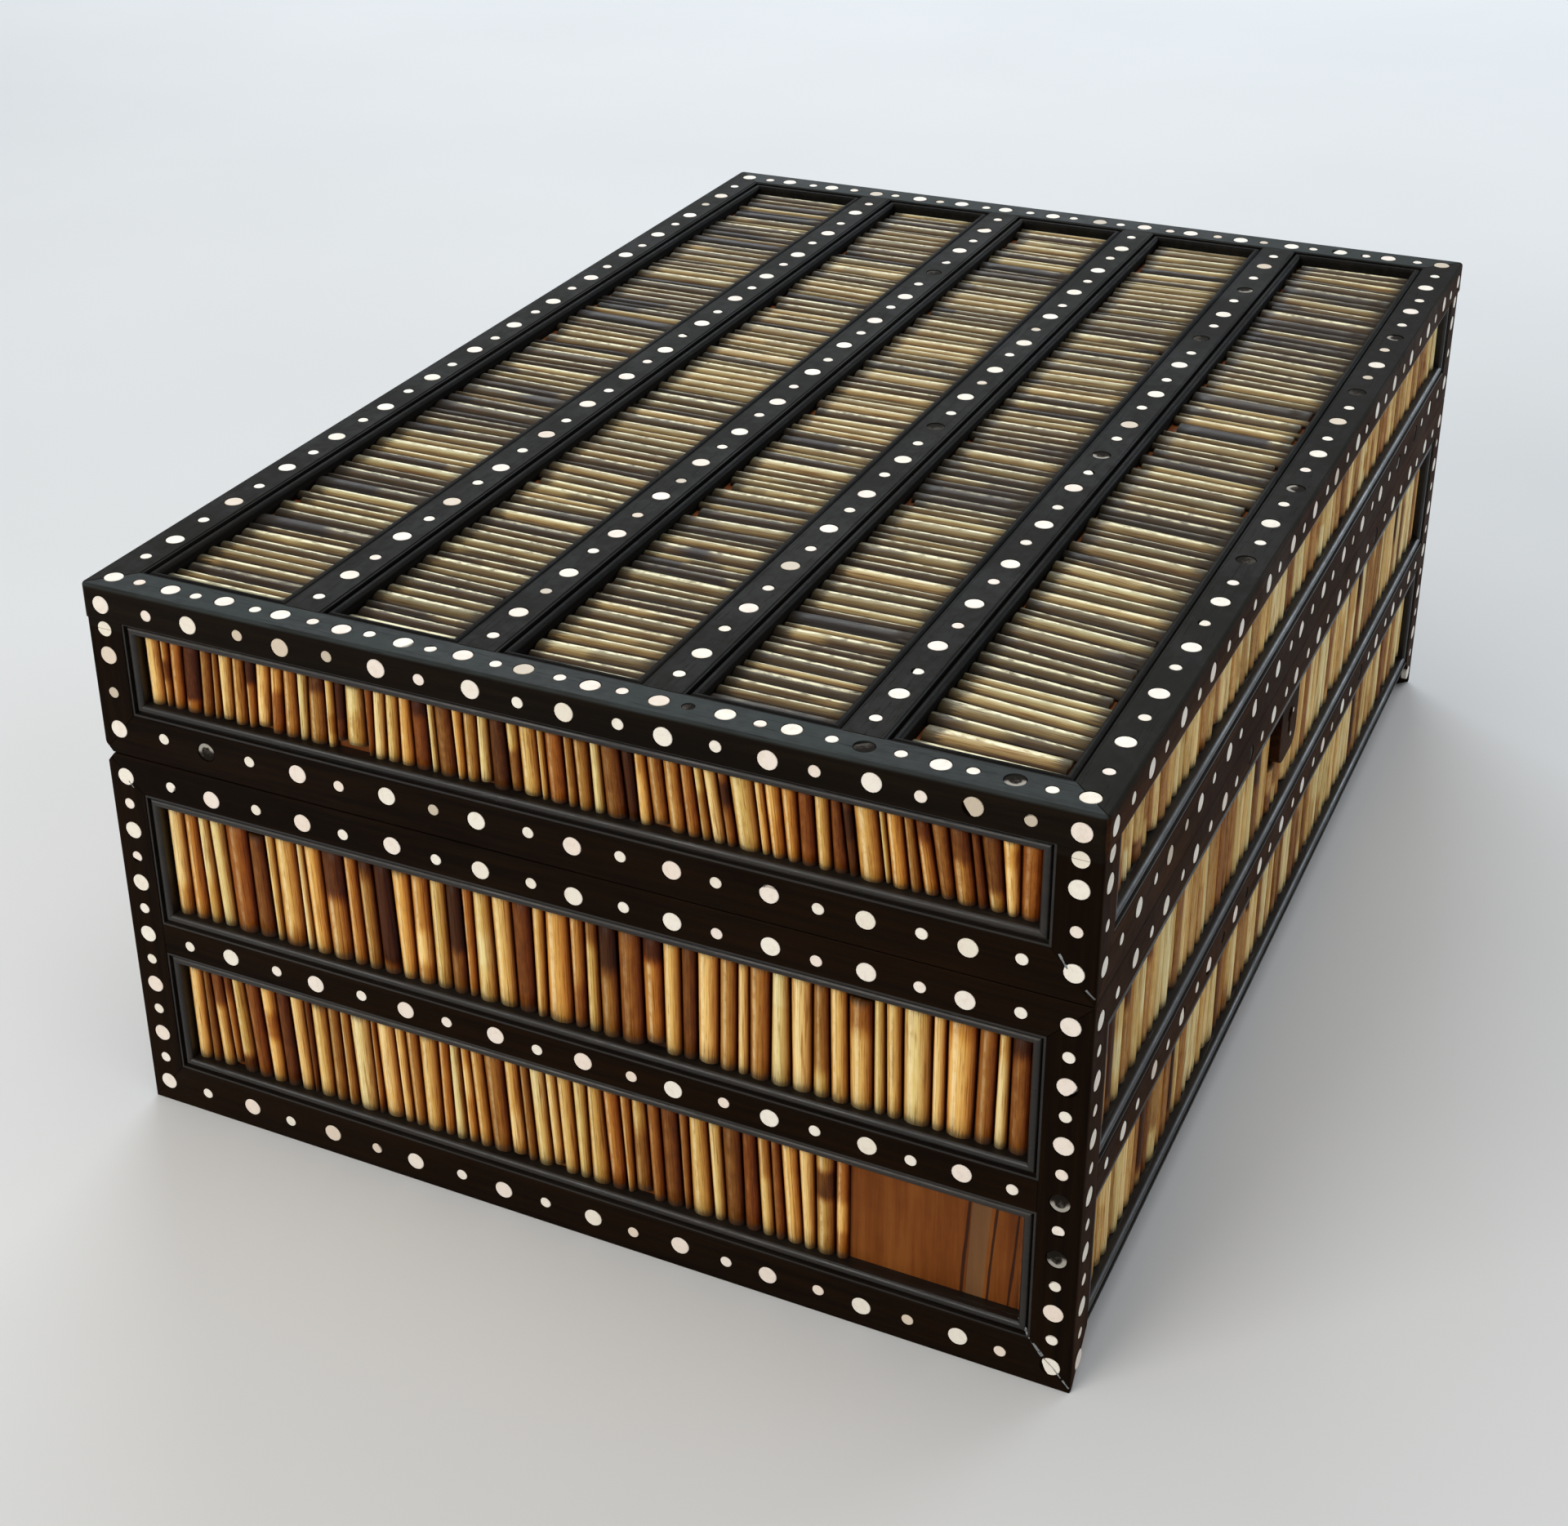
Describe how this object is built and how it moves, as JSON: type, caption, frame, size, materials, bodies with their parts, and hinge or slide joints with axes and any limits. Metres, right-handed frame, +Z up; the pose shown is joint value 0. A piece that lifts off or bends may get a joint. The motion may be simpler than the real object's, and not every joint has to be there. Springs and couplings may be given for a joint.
{
  "type": "quill-panelled keepsake box",
  "caption": "Rectangular ebony box with sunk panels of split quills, strips set with round bone dots, a hinged lid and a small box lock behind an ebony escutcheon.",
  "frame": {"origin": "middle of the underside, on the surface that the box stands on", "axes": "+X along the length, -Y out of the front with the keyhole, +Z up"},
  "size_m": [0.254, 0.176, 0.105],
  "materials": {
    "ebony": "oiled ebony, satin",
    "quill": "banded cream and brown quill, satin",
    "bone": "polished bone",
    "carcass_wood": "plain red-brown hardwood",
    "brass": "aged brass",
    "steel": "plain steel"
  },
  "bodies": {
    "case": {"case_back_board": "carcass_wood", "case_back_bottom_rail": "ebony", "case_back_quills": "quill", "case_back_top_rail": "ebony", "case_bottom_board": "carcass_wood", "case_corner_posts": "ebony", "case_front_board": "carcass_wood", "case_front_quills": "quill", "case_front_top_rail": "ebony", "case_large_dots": "bone", "case_left_board": "carcass_wood", "case_left_bottom_rail": "ebony", "case_left_quills": "quill", "case_left_top_rail": "ebony", "case_mid_rails": "ebony", "case_panel_beads": "ebony", "case_right_board": "carcass_wood", "case_right_bottom_rail": "ebony", "case_right_quills": "quill", "case_right_top_rail": "ebony", "case_small_dots": "bone", "escutcheon_pins": "bone", "hinge_case_leaves": "brass", "hinge_case_screws": "steel", "hinge_pins": "steel", "keyhole_escutcheon": "ebony", "lock_cap": "brass", "lock_key_post": "steel", "lock_plate": "brass", "lock_screws": "steel", "lock_spring": "steel"},
    "lid": {"hinge_lid_leaves": "brass", "hinge_lid_screws": "steel", "lid_back_board": "carcass_wood", "lid_back_quills": "quill", "lid_back_rail": "ebony", "lid_corner_posts": "ebony", "lid_front_board": "carcass_wood", "lid_front_quills": "quill", "lid_front_rail": "ebony", "lid_large_dots": "bone", "lid_left_board": "carcass_wood", "lid_left_quills": "quill", "lid_left_rail": "ebony", "lid_panel_beads": "ebony", "lid_right_board": "carcass_wood", "lid_right_quills": "quill", "lid_right_rail": "ebony", "lid_small_dots": "bone", "lid_top_board": "carcass_wood", "lock_striker": "brass", "striker_screws": "steel", "top_back_rail": "ebony", "top_dividers": "ebony", "top_front_rail": "ebony", "top_left_rail": "ebony", "top_panel_beads": "ebony", "top_quills": "quill", "top_right_rail": "ebony"},
    "lock_bolt": {"lock_bolt": "brass"}
  },
  "joints": [
    {"name": "lid_hinge", "type": "hinge", "parent": "case", "child": "lid", "pos_m": [0, 0.0859, 0.073], "axis": [-1, 0, 0], "range_deg": [0, 98]},
    {"name": "lock_bolt_slide", "type": "slide", "parent": "case", "child": "lock_bolt", "axis": [1, 0, 0], "range_m": [0, 0.004]}
  ]
}
